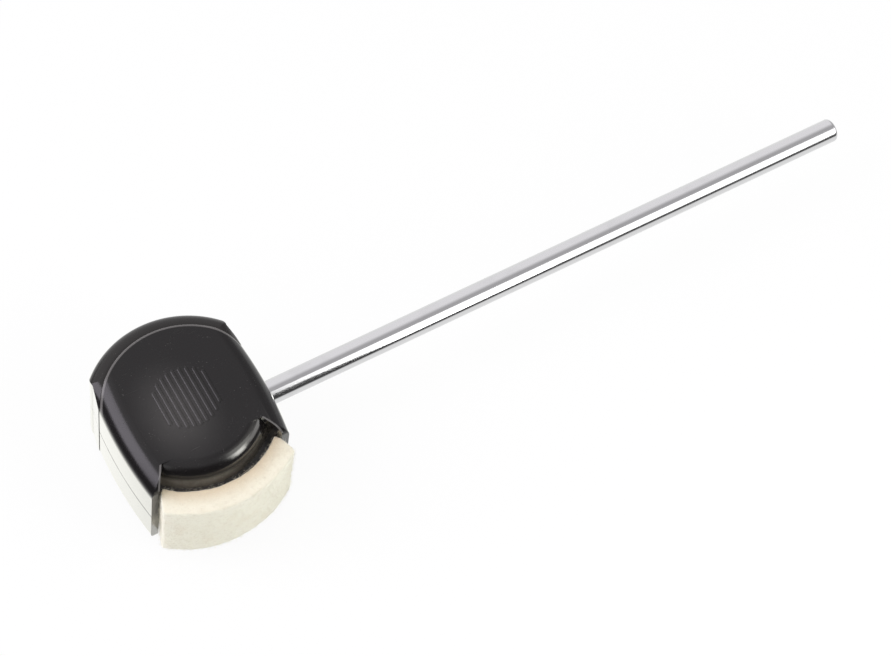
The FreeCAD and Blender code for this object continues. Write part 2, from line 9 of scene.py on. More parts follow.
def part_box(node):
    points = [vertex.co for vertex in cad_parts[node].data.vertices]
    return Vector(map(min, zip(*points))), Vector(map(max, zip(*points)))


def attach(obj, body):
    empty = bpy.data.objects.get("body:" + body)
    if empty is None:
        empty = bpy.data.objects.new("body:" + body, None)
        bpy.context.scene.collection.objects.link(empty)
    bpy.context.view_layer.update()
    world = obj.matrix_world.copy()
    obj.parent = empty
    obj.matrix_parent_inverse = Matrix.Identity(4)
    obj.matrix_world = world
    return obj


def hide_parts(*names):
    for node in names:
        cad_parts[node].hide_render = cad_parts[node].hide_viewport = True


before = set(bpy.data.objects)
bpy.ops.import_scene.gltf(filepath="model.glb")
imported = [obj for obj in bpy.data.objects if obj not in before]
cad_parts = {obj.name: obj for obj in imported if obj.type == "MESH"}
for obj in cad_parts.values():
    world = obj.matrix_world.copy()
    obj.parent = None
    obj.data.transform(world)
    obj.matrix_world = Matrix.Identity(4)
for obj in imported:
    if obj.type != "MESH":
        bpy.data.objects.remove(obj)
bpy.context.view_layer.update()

bl_info = {
    "name": "Bass Drum Beater",
    "version": (1, 0, 0),
    "blender": (4, 5, 0),
    "location": "View3D > Sidebar > Beater",
    "description": "Finishes for a bass drum beater with a felt face and a hard plastic face",
    "category": "Object",
}

MM = 0.001
BLACK = (0.0, 0.0, 0.0, 1.0)
WHITE = (1.0, 1.0, 1.0, 1.0)

# The head in plan: x runs along the shaft, and the felt looks towards -y.
HEAD_LOW, HEAD_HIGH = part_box("upper_shell")
HEAD_MIDDLE = (HEAD_LOW.x + HEAD_HIGH.x) / 2
FLOOR_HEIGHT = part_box("lower_shell")[0].z

# Round edge of the cheeks along the striker.
BACK_RADIUS = 27.2 * MM
BACK_CENTRE = (HEAD_MIDDLE, HEAD_HIGH.y - BACK_RADIUS)

# Round rim above the felt, and the radii over which the cheek rounds off, lint and the felt's painted
# reflection start, the lip goes under the felt into painted shade and the painted shade on the felt's top
# fades; past the last one the felt is open.
RIM_CENTRE = (HEAD_MIDDLE, 2.06 * MM)
RIM_ROUNDING = (19 * MM, 21 * MM)
LINT_AND_REFLECTION_START = (24.5 * MM, 25 * MM)
UNDER_FELT = (25.8 * MM, 26.1 * MM)
TOP_SHADE_FADE = (27.5 * MM, 34 * MM)
FELT_OPEN = 27.95 * MM

# Legs beside the felt: start of the inner side, from the head's middle, and the way across it.
LEG_ROOT = (16.9 * MM, -13.9 * MM)
LEG_SLANT = (0.86, 0.51)
LEGS_APART = 20.6 * MM

# Patch of painted sheen that greys the middle of the cheek, narrower along the shaft.
SHEEN_MIDDLE = (HEAD_MIDDLE - 5 * MM, -1 * MM)
SHEEN_SQUEEZE = 1.35
SHEEN_FADE = (3 * MM, 21 * MM)

# Raised bars: their middle in y, points along a bar and sides round it.
BARS_MIDDLE = 2.2 * MM
BAR_POINTS = 41
BAR_SIDES = 16

# Felt: distance for merging its solid's corners, sizes of its swells and tufts, and how far they sink.
MERGE_DISTANCE = 0.001 * MM
SWELL_SIZE = 7 * MM
TUFT_SIZE = 1.6 * MM
SMALL_TUFT_SIZE = 0.9 * MM
FELT_SINK = 0.3

# Loose fibres: seeds, lean in radians, share of the full length, and the line they keep in front of.
PLACE_SEED = 4
TURN_SEED = 5
LENGTH_SEED = 6
FIBRE_LEAN = 0.9
FULL_TURN = 6.28
FIBRE_SHARE = (0.45, 1.25)
FIBRE_LINE = -18.5 * MM

# Stage: half the floor's width, its gap under the head and the width of its fade in metres,
# the camera's sensor in millimetres, and the colours of the lamps.
FLOOR_REACH = 4
FLOOR_GAP = 0.05 * MM
TABLE_FADE = 0.03
SENSOR_WIDTH = 36
LAMP_WHITE = (1.0, 1.0, 0.99)
LAMP_LAVENDER = (0.95, 0.89, 1.0)
LAMP_COOL = (0.99, 0.97, 1.0)


class Wire:
    """A node's output; arithmetic on it adds Math nodes."""

    def __init__(self, graph, socket):
        self.graph = graph
        self.socket = socket

    def __add__(self, other):
        return self.graph.maths("ADD", self, other)

    __radd__ = __add__

    def __sub__(self, other):
        return self.graph.maths("SUBTRACT", self, other)

    def __rsub__(self, other):
        return self.graph.maths("SUBTRACT", other, self)

    def __mul__(self, other):
        return self.graph.maths("MULTIPLY", self, other)

    __rmul__ = __mul__

    def __truediv__(self, other):
        return self.graph.maths("DIVIDE", self, other)

    def __rtruediv__(self, other):
        return self.graph.maths("DIVIDE", other, self)

    def __lt__(self, other):
        return self.graph.maths("LESS_THAN", self, other)

    def __gt__(self, other):
        return self.graph.maths("GREATER_THAN", self, other)

    def __abs__(self):
        return self.graph.maths("ABSOLUTE", self)

    def beside(self, output):
        """Another output of the same node."""
        return Wire(self.graph, self.socket.node.outputs[output])


class Graph:
    """A node tree that is filled from Python."""

    def __init__(self, tree):
        self.tree = tree
        tree.nodes.clear()

    def node(self, kind, settings=None, inputs=None, output=0):
        """Adds a node, sets its settings first and then its sockets, and gives one output."""
        made = self.tree.nodes.new(kind)
        for name, setting in (settings or {}).items():
            setattr(made, name, setting)
        for name, source in (inputs or {}).items():
            if isinstance(source, Wire):
                self.tree.links.new(source.socket, made.inputs[name])
            else:
                made.inputs[name].default_value = source
        return Wire(self, made.outputs[output]) if made.outputs else made

    def maths(self, operation, left, right=0.0):
        """Math node on one or two values."""
        return self.node("ShaderNodeMath", {"operation": operation}, {0: left, 1: right})

    def place(self):
        """Place on a piece in the shared frame; its normal is beside it."""
        return self.node("ShaderNodeTexCoord", output="Object")

    def axes(self, vector):
        """The x, y and z of a place or a direction."""
        x = self.node("ShaderNodeSeparateXYZ", {}, {0: vector})
        return x, x.beside("Y"), x.beside("Z")

    def plan_distance(self, place, middle):
        """Distance in plan from a point (x, y)."""
        x, y, _ = self.axes(place)
        across = x - middle[0]
        along = y - middle[1]
        return self.maths("SQRT", across * across + along * along)

    def tint(self, factor, first, second):
        """Colour between two colours."""
        inputs = {0: factor, 6: first, 7: second}
        return self.node("ShaderNodeMix", {"data_type": "RGBA"}, inputs, output=2)

    def step(self, source, start, end):
        """Smooth rise from 0 at start to 1 at end."""
        inputs = {"Value": source, "From Min": start, "From Max": end}
        return self.node("ShaderNodeMapRange", {"interpolation_type": "SMOOTHSTEP"}, inputs)

    def speckle(self, place, size, detail=2.0):
        """Noise whose marks are about size across, in metres."""
        inputs = {"Vector": place, "Scale": 1 / size, "Detail": detail}
        return self.node("ShaderNodeTexNoise", {}, inputs)

    def stretched(self, place, scale):
        """Place with its axes scaled, for marks that run one way."""
        return self.node("ShaderNodeMapping", {}, {"Vector": place, "Scale": scale})

    def dents(self, height, depth, strength, normal=None):
        """Bump of a given depth in metres."""
        inputs = {"Height": height, "Distance": depth, "Strength": strength}
        if normal is not None:
            inputs["Normal"] = normal
        return self.node("ShaderNodeBump", {}, inputs)


def colour_prop(name, description, default):
    """Colour that a user may change."""
    return FloatVectorProperty(name=name, description=description, default=default, subtype="COLOR")


def amount_prop(name, description, default):
    """Plain number that a user may change."""
    return FloatProperty(name=name, description=description, default=default)


def share_prop(name, description, default):
    """Share from 0 to 1 that a user may change."""
    limits = {"min": 0.0, "max": 1.0}
    return FloatProperty(name=name, description=description, default=default, subtype="FACTOR", **limits)


def angle_prop(name, description, degrees):
    """Angle that a user may change, given in degrees."""
    return FloatProperty(name=name, description=description, default=math.radians(degrees), subtype="ANGLE")


def length_prop(name, description, default):
    """Length that a user may change, in metres."""
    return FloatProperty(name=name, description=description, default=default, unit="LENGTH", precision=5)


class BeaterPlasticSettings(bpy.types.PropertyGroup):
    """Looks of the moulded shells and the hard striker."""

    shell_colour: colour_prop("Shell colour", "Colour of the two shells", (0.0075, 0.0065, 0.0067))
    striker_colour: colour_prop("Striker colour", "Colour of the hard striker", (0.012, 0.0105, 0.0095))
    # Grey of the dust specks and scuffs, and of the painted sheen in the middle of the cheek.
    dust_and_sheen_colour: colour_prop("Dust colour", "Colour of the dust in the moulded grain", (0.11, 0.105, 0.1))
    # Grey of the painted highlight along the shells' sharp edges.
    edge_highlight_colour: colour_prop("Edge colour", "Colour of the burnished edges", (0.13, 0.125, 0.12))
    # Lint beside the felt, and the painted reflection of the felt on the wall under the rim.
    lint_and_reflection_colour: colour_prop("Lint colour", "Colour of the lint beside the felt", (0.19, 0.17, 0.14))
    gloss_roughness: share_prop("Gloss roughness", "Roughness of the plastic", 0.24)
    wall_polish: share_prop("Wall polish", "Shine of the walls at a glancing view", 0.95)
    rim_polish: share_prop("Rim polish", "Shine of the buffed rim above the felt", 0.055)
    # Share of the painted sheen that greys the middle of the cheek.
    painted_sheen: share_prop("Handling", "How grey the handled middle of the cheek is", 0.42)
    grain_size: length_prop("Grain size", "Size of the moulded grain", 0.00035)
    grain_depth: length_prop("Grain depth", "Depth of the moulded grain", 0.000004)


class BeaterRibSettings(bpy.types.PropertyGroup):
    """Raised bars on the upper cheek."""

    count: IntProperty(name="Bars", description="Number of raised bars", default=9, min=3)
    pitch: length_prop("Pitch", "Distance between bars", 0.0021)
    longest: length_prop("Longest bar", "Length of the middle bar", 0.021)
    bar_radius: length_prop("Bar radius", "Half the width of a bar", 0.00062)
    bar_rise: length_prop("Bar rise", "Height of a bar above the cheek", 0.00022)


class BeaterChromeSettings(bpy.types.PropertyGroup):
    """Looks of the chromed shaft."""

    colour: colour_prop("Chrome colour", "Colour of the chrome", (0.67, 0.67, 0.675))
    roughness: share_prop("Roughness", "Roughness of the polish", 0.11)


class BeaterFeltSettings(bpy.types.PropertyGroup):
    """Form and looks of the felt."""

    front_colour: colour_prop("Front colour", "Colour of the striking face", (0.89, 0.88, 0.74))
    # Painted shade on the felt's top and bottom, also used for random patches.
    top_shade_and_patch_colour: colour_prop("Cut colour", "Colour of the cut top and bottom", (0.67, 0.565, 0.4))
    fibre_colour: colour_prop("Fibre colour", "Colour of the darker fibres", (0.62, 0.55, 0.42))
    voxel: length_prop("Mesh size", "Size of the felt's mesh", 0.0005)
    soften: IntProperty(name="Softening", description="Smoothing passes on the felt's edges", default=2)
    swell: length_prop("Swell", "Height of the soft swells in the felt", 0.00022)
    nap: length_prop("Nap", "Height of the small tufts", 0.0001)
    fuzz_length: length_prop("Fuzz length", "Length of a loose fibre", 0.0011)
    fuzz_radius: length_prop("Fuzz radius", "Radius of a loose fibre", 0.00002)
    fuzz_density: amount_prop("Fuzz density", "Loose fibres in a square metre", 2200000)


class BeaterHardwareSettings(bpy.types.PropertyGroup):
    """Looks of the pieces inside the head."""

    steel_colour: colour_prop("Steel colour", "Colour of screws, washer and clip", (0.33, 0.33, 0.34))
    brass_colour: colour_prop("Brass colour", "Colour of the threaded inserts", (0.72, 0.5, 0.2))
    hub_colour: colour_prop("Hub colour", "Colour of the hub", (0.6, 0.6, 0.61))
    plate_colour: colour_prop("Plate colour", "Colour of the plate behind the felt", (0.05, 0.05, 0.052))


class BeaterStageSettings(bpy.types.PropertyGroup):
    """Camera, floor and light."""

    azimuth: angle_prop("Azimuth", "Camera turn", -42.035)
    elevation: angle_prop("Elevation", "Camera rise", 62.476)
    roll: angle_prop("Roll", "Camera roll", 13.417)
    distance: length_prop("Distance", "Camera distance from the aim point", 0.84664)
    aim: FloatVectorProperty(
        name="Aim",
        description="Point that the camera looks at",
        default=(0.063686, -0.005466, 0.0),
        subtype="TRANSLATION",
    )
    lens: amount_prop("Lens", "Focal length in millimetres", 107.92)
    floor_colour: colour_prop("Floor colour", "Colour of the floor", (0.86, 0.86, 0.85))
    floor_white: share_prop("Floor white", "Share of plain white in the floor", 0.93)
    table_edge: length_prop("Table edge", "How far left gloss shows the table's dim edge", 0.115)
    front_level: amount_prop("Front level", "Brightness of the front panels", 1.4)
    near_level: amount_prop("Near level", "Brightness of the small lamp near the head", 3.0)
    glint_level: amount_prop("Glint level", "Brightness of the lamp that glints on the rim", 3.2)
    left_level: amount_prop("Left level", "Brightness of the panel on the left", 3.8)
    right_level: amount_prop("Right level", "Brightness of the panel on the right", 1.6)
    fill_level: amount_prop("Fill level", "Brightness of the fill at the front left", 1.5)


SETTINGS = {
    "beater_plastic": BeaterPlasticSettings,
    "beater_ribs": BeaterRibSettings,
    "beater_chrome": BeaterChromeSettings,
    "beater_felt": BeaterFeltSettings,
    "beater_hardware": BeaterHardwareSettings,
    "beater_stage": BeaterStageSettings,
}


def opaque(colour):
    """Colour with full alpha, as sockets take it."""
    return (*colour, 1.0)


def darker(colour, share):
    """Opaque colour at a share of its brightness."""
    return opaque([channel * share for channel in colour])


def new_material(name):
    """Empty material and the graph of its nodes."""
    material = bpy.data.materials.new(name)
    material.use_nodes = True
    return material, Graph(material.node_tree)


def close_material(graph, shader):
    """Ends a material in its output."""
    graph.node("ShaderNodeOutputMaterial", {}, {"Surface": shader})


def edge_highlights(graph, place):
    """Where a painted highlight lies on a shell's sharp edges: along the striker and on the inner side of the
    legs.
    """
    x, y, _ = graph.axes(place)
    back = graph.plan_distance(place, BACK_CENTRE)
    back_edge = graph.step(back, BACK_RADIUS - 0.9 * MM, BACK_RADIUS - 0.55 * MM)
    back_edge = back_edge * graph.step(y, 0.0, 1 * MM)
    across = abs(x - HEAD_MIDDLE) - LEG_ROOT[0]
    into_leg = across * LEG_SLANT[0] + (y - LEG_ROOT[1]) * LEG_SLANT[1]
    leg_edge = 1 - graph.step(into_leg, 0.35 * MM, 0.7 * MM)
    leg_edge = leg_edge * (into_leg > -0.1 * MM) * (y < LEG_ROOT[1])
    rise = graph.axes(place.beside("Normal"))[2]
    outer_side = abs(rise) > 0.3
    return graph.maths("MAXIMUM", back_edge, leg_edge) * outer_side


def lint_and_felt_reflection(graph, place):
    """Where lint from the felt lies, with the painted reflection of the felt: on the wall under the rim and
    on the lip, less on the shaft's side.
    """
    x, y, z = graph.axes(place)
    low = 1 - graph.step(abs(z), 14 * MM, 16.5 * MM)
    near = graph.step(graph.plan_distance(place, RIM_CENTRE), *LINT_AND_REFLECTION_START)
    between_legs = abs(x - HEAD_MIDDLE) < LEGS_APART
    tufts = graph.speckle(place, 1.6 * MM, 3.0)
    fewer = 1 - 0.65 * graph.step(x - HEAD_MIDDLE, -6 * MM, 9 * MM)
    return low * near * between_legs * fewer * (y < -12 * MM) * (0.75 + 0.5 * (tufts - 0.5))


def painted_gap_shade(graph, place):
    """Where the lip runs in under the felt and is painted back to black as painted shade, with a ragged edge.
    """
    on_lip = abs(graph.axes(place)[2]) < 11.5 * MM
    ragged = 1.2 * MM * (graph.speckle(place, 0.8 * MM) - 0.5)
    inwards = graph.step(graph.plan_distance(place, RIM_CENTRE) + ragged, *UNDER_FELT)
    return inwards * on_lip * 0.85


def rim_edge(graph, place):
    """Where the cheek rounds over above the felt on the shaft's side, the smoothest part of a shell."""
    x, y, _ = graph.axes(place)
    shaft_side = graph.step(x - HEAD_MIDDLE, -4 * MM, 7 * MM) * (x < HEAD_MIDDLE + 19 * MM)
    rim = graph.step(graph.plan_distance(place, RIM_CENTRE), *RIM_ROUNDING)
    return rim * shaft_side * (y < -8 * MM)


def leg_ends(graph, place):
    """Where the legs end in front, less polished than the walls, and least at the upper cheek."""
    x, _, z = graph.axes(place)
    on_legs = graph.step(abs(x - HEAD_MIDDLE), 15.5 * MM, 17 * MM)
    forward = 0 - graph.axes(place.beside("Normal"))[1]
    upper = graph.step(z, -8 * MM, 2 * MM)
    return on_legs * graph.step(forward, 0.5, 0.8) * (0.3 + 0.7 * upper)


def mould_line(graph, place):
    """Fine line at half height, where the two halves of a mould met."""
    return 1 - graph.step(abs(graph.axes(place)[2]), 0.1 * MM, 0.25 * MM)


def painted_sheen_patch(graph, place, flow):
    """Where painted sheen greys the middle of the cheek."""
    squeezed = graph.stretched(place, (SHEEN_SQUEEZE, 1.0, 1.0))
    middle = (SHEEN_SQUEEZE * SHEEN_MIDDLE[0], SHEEN_MIDDLE[1])
    reach = graph.plan_distance(squeezed, middle)
    return (1 - graph.step(reach, *SHEEN_FADE)) * (0.7 + 0.6 * (flow - 0.5))


def moulded_plastic(name, colour, look, edged=False):
    """Black plastic, satin with polished walls; edged gives a shell's painted edge highlights, lint with the
    felt's painted reflection, painted shade under the felt and a buffed rim, or else there is a mould line.
    """
    material, graph = new_material(name)
    place = graph.place()
    black = opaque(colour)
    grey = opaque(look.dust_and_sheen_colour)
    grain = graph.speckle(place, look.grain_size, 3.0)
    flow = graph.speckle(graph.stretched(place, (1.0, 0.45, 1.0)), 9 * MM, 4.0)
    scratches = graph.speckle(graph.stretched(place, (0.16, 2.4, 1.0)), 1.1 * MM, 5.0)
    scuffs = graph.step(scratches, 0.66, 0.74)
    specks = graph.step(graph.speckle(place, 0.55 * MM, 1.0), 0.68, 0.78)
    dust = specks * graph.step(graph.speckle(place, 6 * MM, 3.0), 0.45, 0.7)
    rise = graph.axes(place.beside("Normal"))[2]
    upright = rise * rise
    wall = 1 - graph.step(upright, 0.02, 0.3)
    glancing = graph.node("ShaderNodeLayerWeight", {}, {"Blend": 0.5}, output="Facing")
    # Painted sheen: the middle of the cheek is greyed towards the dust grey.
    base = graph.tint(painted_sheen_patch(graph, place, flow) * look.painted_sheen, black, grey)
    base = graph.tint(dust * 0.55, base, grey)
    base = graph.tint(scuffs * 0.1, base, grey)
    roughness = look.gloss_roughness + 0.12 * (flow - 0.5) + 0.1 * scuffs + 0.3 * dust
    shine = wall * graph.step(glancing, 0.49, 0.87) * look.wall_polish
    if edged:
        # Painted highlight: grey along the shell's sharp edges.
        edge_highlight = edge_highlights(graph, place) * (0.6 + 0.6 * flow)
        base = graph.tint(edge_highlight, base, opaque(look.edge_highlight_colour))
        # Lint, and the painted reflection of the felt on the wall under the rim.
        base = graph.tint(lint_and_felt_reflection(graph, place), base, opaque(look.lint_and_reflection_colour))
        # Painted shade: the lip under the felt's edge goes back to black.
        base = graph.tint(painted_gap_shade(graph, place), base, black)
        rounded = graph.step(upright, 0.02, 0.1) * (1 - graph.step(upright, 0.9, 0.99))
        buffed = rounded * rim_edge(graph, place)
        roughness = roughness - 0.09 * buffed
        shine = shine * (1 - 0.85 * leg_ends(graph, place)) + buffed * look.rim_polish
    else:
        shine = shine * (1 - 0.6 * mould_line(graph, place))
    satin = graph.node("ShaderNodeBsdfPrincipled", {}, {
        "Base Color": base,
        "Roughness": roughness,
        "IOR": 1.42,
        "Normal": graph.dents(grain, look.grain_depth, 0.8),
    })
    polish = graph.node("ShaderNodeBsdfPrincipled", {}, {
        "Base Color": (0.97, 0.965, 0.88, 1.0),
        "Metallic": 1.0,
        "Roughness": 0.12 + 0.08 * flow,
    })
    close_material(graph, graph.node("ShaderNodeMixShader", {}, {0: shine, 1: satin, 2: polish}))
    return material


def polished_chrome(look):
    """Chrome with fine polishing lines along the rod and faint marks left by hands."""
    material, graph = new_material("polished_chrome")
    place = graph.place()
    lines = graph.speckle(graph.stretched(place, (0.02, 1.0, 1.0)), 0.16 * MM, 3.0)
    marks = graph.speckle(place, 7 * MM, 4.0)
    pits = graph.step(graph.speckle(place, 0.8 * MM, 2.0), 0.7, 0.78)
    base = graph.tint(graph.step(marks, 0.5, 0.8) * 0.4, opaque(look.colour), darker(look.colour, 0.86))
    roughness = look.roughness + 0.015 * lines + 0.02 * graph.step(marks, 0.45, 0.75) + 0.03 * pits
    shader = graph.node("ShaderNodeBsdfPrincipled", {}, {
        "Base Color": base,
        "Metallic": 1.0,
        "Roughness": roughness,
        "Normal": graph.dents(lines, 0.0002 * MM, 0.5),
    })
    close_material(graph, shader)
    return material


def pressed_felt(look):
    """Pressed wool: matted fibres, small tufts, and painted shade in a darker, warmer tone on the top and
    bottom, most near the rim.
    """
    material, graph = new_material("pressed_felt")
    place = graph.place()
    fibre = opaque(look.fibre_colour)
    # Painted shade colour of the top and bottom, which random patches use too.
    cut = opaque(look.top_shade_and_patch_colour)
    rise = graph.axes(place.beside("Normal"))[2]
    # Painted shade: the top and bottom take the darker, warmer colour, most near the rim.
    outwards = graph.step(graph.plan_distance(place, RIM_CENTRE), *TOP_SHADE_FADE)
    painted_top_shade = graph.step(rise * rise, 0.05, 1.0) * (1 - 0.75 * outwards)
    strands = graph.speckle(graph.stretched(place, (0.35, 1.0, 1.0)), 0.28 * MM, 4.0)
    cross_strands = graph.speckle(graph.stretched(place, (1.0, 1.0, 0.35)), 0.25 * MM, 4.0)
    matted = strands * 0.5 + cross_strands * 0.5
    tufts = graph.speckle(place, 1.3 * MM, 3.0)
    patches = graph.speckle(place, 5 * MM, 3.0)
    base = graph.tint(painted_top_shade, opaque(look.front_colour), cut)
    base = graph.tint(graph.step(matted, 0.54, 0.7) * 0.5, base, fibre)
    base = graph.tint(graph.step(tufts, 0.5, 0.75) * 0.24, base, fibre)
    base = graph.tint(graph.step(patches, 0.5, 0.75) * 0.16, base, cut)
    normal = graph.dents(tufts, 0.22 * MM, 0.6)
    normal = graph.dents(matted, 0.11 * MM, 0.75, normal)
    shader = graph.node("ShaderNodeBsdfPrincipled", {}, {
        "Base Color": base,
        "Roughness": 0.92 - 0.1 * matted,
        "Specular IOR Level": 0.15,
        "Sheen Weight": 0.25,
        "Sheen Roughness": 0.5,
        "Normal": normal,
    })
    close_material(graph, shader)
    return material


def turned_metal(name, colour, roughness):
    """Machined metal with fine tool lines and darker spots."""
    material, graph = new_material(name)
    place = graph.place()
    lines = graph.speckle(graph.stretched(place, (0.2, 1.0, 3.0)), 0.2 * MM, 3.0)
    spots = graph.speckle(place, 2 * MM, 3.0)
    base = graph.tint(graph.step(spots, 0.5, 0.75) * 0.6, opaque(colour), darker(colour, 0.6))
    shader = graph.node("ShaderNodeBsdfPrincipled", {}, {
        "Base Color": base,
        "Metallic": 1.0,
        "Roughness": roughness + 0.15 * lines + 0.1 * spots,
        "Normal": graph.dents(lines, 0.004 * MM, 0.5),
    })
    close_material(graph, shader)
    return material


def finish_nodes(material, *names):
    """Gives CAD nodes a material."""
    for name in names:
        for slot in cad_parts[name].material_slots:
            slot.material = material


def new_piece(name, mesh):
    """Object in the scene that holds a mesh."""
    piece = bpy.data.objects.new(name, mesh)
    bpy.context.scene.collection.objects.link(piece)
    return piece


def plain_mesh(piece):
    """Mesh that an object's modifiers give, with the modifiers taken off."""
    bpy.context.view_layer.update()
    evaluated = piece.evaluated_get(bpy.context.evaluated_depsgraph_get())
    mesh = bpy.data.meshes.new_from_object(evaluated)
    piece.modifiers.clear()
    piece.data = mesh
    return mesh


def geometry_tree(name, has_mesh, sizes):
    """Geometry Nodes tree with named inputs; gives the tree, its graph and its inputs."""
    tree = bpy.data.node_groups.new(name, "GeometryNodeTree")
    graph = Graph(tree)
    if has_mesh:
        tree.interface.new_socket("Mesh", in_out="INPUT", socket_type="NodeSocketGeometry")
    for label, kind in sizes.items():
        tree.interface.new_socket(label, in_out="INPUT", socket_type=kind)
    tree.interface.new_socket("Geometry", in_out="OUTPUT", socket_type="NodeSocketGeometry")
    return tree, graph, graph.node("NodeGroupInput")


def close_tree(graph, geometry, material):
    """Ends a tree with real geometry and its material."""
    real = graph.node("GeometryNodeRealizeInstances", {}, {"Geometry": geometry})
    painted = graph.node("GeometryNodeSetMaterial", {}, {"Geometry": real, "Material": material})
    graph.node("NodeGroupOutput", {}, {0: painted})


def run_tree(piece, tree, sizes):
    """Runs a tree on a piece with its inputs set, and leaves a plain mesh."""
    modifier = piece.modifiers.new(tree.name, "NODES")
    modifier.node_group = tree
    for item in tree.interface.items_tree:
        if item.in_out == "INPUT" and item.name in sizes:
            modifier[item.identifier] = sizes[item.name]
    plain_mesh(piece)


class BEATER_OT_shells(bpy.types.Operator):
    """Moulded plastic on the two shells of the head"""

    bl_idname = "beater.shells"
    bl_label = "Shells"

    def execute(self, context):
        look = context.scene.beater_plastic
        material = moulded_plastic("moulded_black", look.shell_colour, look, edged=True)
        finish_nodes(material, "upper_shell", "lower_shell")
        return {"FINISHED"}


class BEATER_OT_striker(bpy.types.Operator):
    """Hard plastic on the striker"""

    bl_idname = "beater.striker"
    bl_label = "Striker"

    def execute(self, context):
        look = context.scene.beater_plastic
        finish_nodes(moulded_plastic("hard_black", look.striker_colour, look), "plastic_striker")
        return {"FINISHED"}


class BEATER_OT_cheek_ribs(bpy.types.Operator):
    """Low raised bars in the shape of a lens on the upper cheek"""

    bl_idname = "beater.cheek_ribs"
    bl_label = "Cheek ribs"

    def execute(self, context):
        sizes = context.scene.beater_ribs
        piece = new_piece("cheek_ribs", bpy.data.meshes.new("cheek_ribs"))
        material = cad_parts["upper_shell"].material_slots[0].material
        run_tree(piece, rib_tree(material), {
            "Bars": sizes.count,
            "Pitch": sizes.pitch,
            "Longest": sizes.longest,
            "Radius": sizes.bar_radius,
            "Rise": sizes.bar_rise,
        })
        for polygon in piece.data.polygons:
            polygon.use_smooth = True
        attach(piece, "head")
        return {"FINISHED"}


def rib_tree(material):
    """Bars side by side, each as long as the lens is there, flattened on the cheek."""
    tree, graph, given = geometry_tree("cheek_ribs", False, {
        "Bars": "NodeSocketInt",
        "Pitch": "NodeSocketFloat",
        "Longest": "NodeSocketFloat",
        "Radius": "NodeSocketFloat",
        "Rise": "NodeSocketFloat",
    })
    bars = given
    pitch = given.beside("Pitch")
    longest = given.beside("Longest")
    radius = given.beside("Radius")
    rise = given.beside("Rise")
    start = graph.node("ShaderNodeCombineXYZ", {}, {"X": (1 - bars) * pitch / 2})
    offset = graph.node("ShaderNodeCombineXYZ", {}, {"X": pitch})
    row = graph.node("GeometryNodeMeshLine", {}, {"Count": bars, "Start Location": start, "Offset": offset})
    index = graph.node("GeometryNodeInputIndex")
    across = (2 * index - bars + 1) / (bars + 1)
    length = longest * graph.maths("SQRT", 1 - across * across)
    stretch = graph.node("ShaderNodeCombineXYZ", {}, {"X": 1.0, "Y": length, "Z": 1.0})
    ends = {"Start": (0, -0.5, 0), "End": (0, 0.5, 0)}
    line = graph.node("GeometryNodeCurvePrimitiveLine", {}, ends)
    lens = {"Points": row, "Instance": line, "Scale": stretch}
    copies = graph.node("GeometryNodeInstanceOnPoints", {}, lens)
    bones = graph.node("GeometryNodeRealizeInstances", {}, {"Geometry": copies})
    bones = graph.node("GeometryNodeResampleCurve", {}, {"Curve": bones, "Count": BAR_POINTS})
    along = graph.node("GeometryNodeSplineParameter", output="Length")
    whole = graph.node("GeometryNodeSplineLength")
    nearest = graph.maths("MINIMUM", along, whole - along)
    inside = 1 - graph.maths("MINIMUM", nearest / radius, 1.0)
    taper = graph.maths("SQRT", 1 - inside * inside)
    ring = graph.node("GeometryNodeCurvePrimitiveCircle", {}, {"Resolution": BAR_SIDES, "Radius": radius})
    tube = {"Curve": bones, "Profile Curve": ring, "Scale": taper}
    tubes = graph.node("GeometryNodeCurveToMesh", {}, tube)
    flat = graph.node("ShaderNodeCombineXYZ", {}, {"X": 1.0, "Y": 1.0, "Z": rise / radius})
    centre = (HEAD_MIDDLE, BARS_MIDDLE, HEAD_HIGH.z)
    on_cheek = {"Geometry": tubes, "Scale": flat, "Translation": centre}
    close_tree(graph, graph.node("GeometryNodeTransform", {}, on_cheek), material)
    return tree


class BEATER_OT_shaft(bpy.types.Operator):
    """Polished chrome on the shaft"""

    bl_idname = "beater.shaft"
    bl_label = "Shaft"

    def execute(self, context):
        finish_nodes(polished_chrome(context.scene.beater_chrome), "shaft")
        return {"FINISHED"}


class BEATER_OT_felt(bpy.types.Operator):
    """Soft felt block with loose fibres on its open faces"""

    bl_idname = "beater.felt"
    bl_label = "Felt"

    def execute(self, context):
        look = context.scene.beater_felt
        material = pressed_felt(look)
        felt = felt_block(look)
        felt.data.materials.append(material)
        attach(felt, "head")
        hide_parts("felt_pad")
        fuzz = new_piece("felt_fuzz", felt.data.copy())
        run_tree(fuzz, fuzz_tree(material), {
            "Length": look.fuzz_length,
            "Radius": look.fuzz_radius,
            "Density": look.fuzz_density,
        })
        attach(fuzz, "head")
        return {"FINISHED"}


def felt_block(look):
    """Felt in the form of its solid, with softened edges, slow swells and small tufts."""
    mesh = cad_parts["felt_pad"].data.copy()
    mesh.materials.clear()
    form = bmesh.new()
    form.from_mesh(mesh)
    bmesh.ops.remove_doubles(form, verts=form.verts, dist=MERGE_DISTANCE)
    form.to_mesh(mesh)
    form.free()
    felt = new_piece("felt_block", mesh)
    remesh = felt.modifiers.new("felt_mesh", "REMESH")
    remesh.mode = "VOXEL"
    remesh.voxel_size = look.voxel
    mesh = plain_mesh(felt)
    form = bmesh.new()
    form.from_mesh(mesh)
    all_ways = {"use_axis_x": True, "use_axis_y": True, "use_axis_z": True}
    for _ in range(look.soften):
        bmesh.ops.smooth_vert(form, verts=form.verts, factor=0.5, **all_ways)
    form.normal_update()
    shifts = [felt_shift(vert.co, look) * vert.normal for vert in form.verts]
    for vert, shift in zip(form.verts, shifts):
        vert.co += shift
    for face in form.faces:
        face.smooth = True
    form.to_mesh(mesh)
    form.free()
    return felt


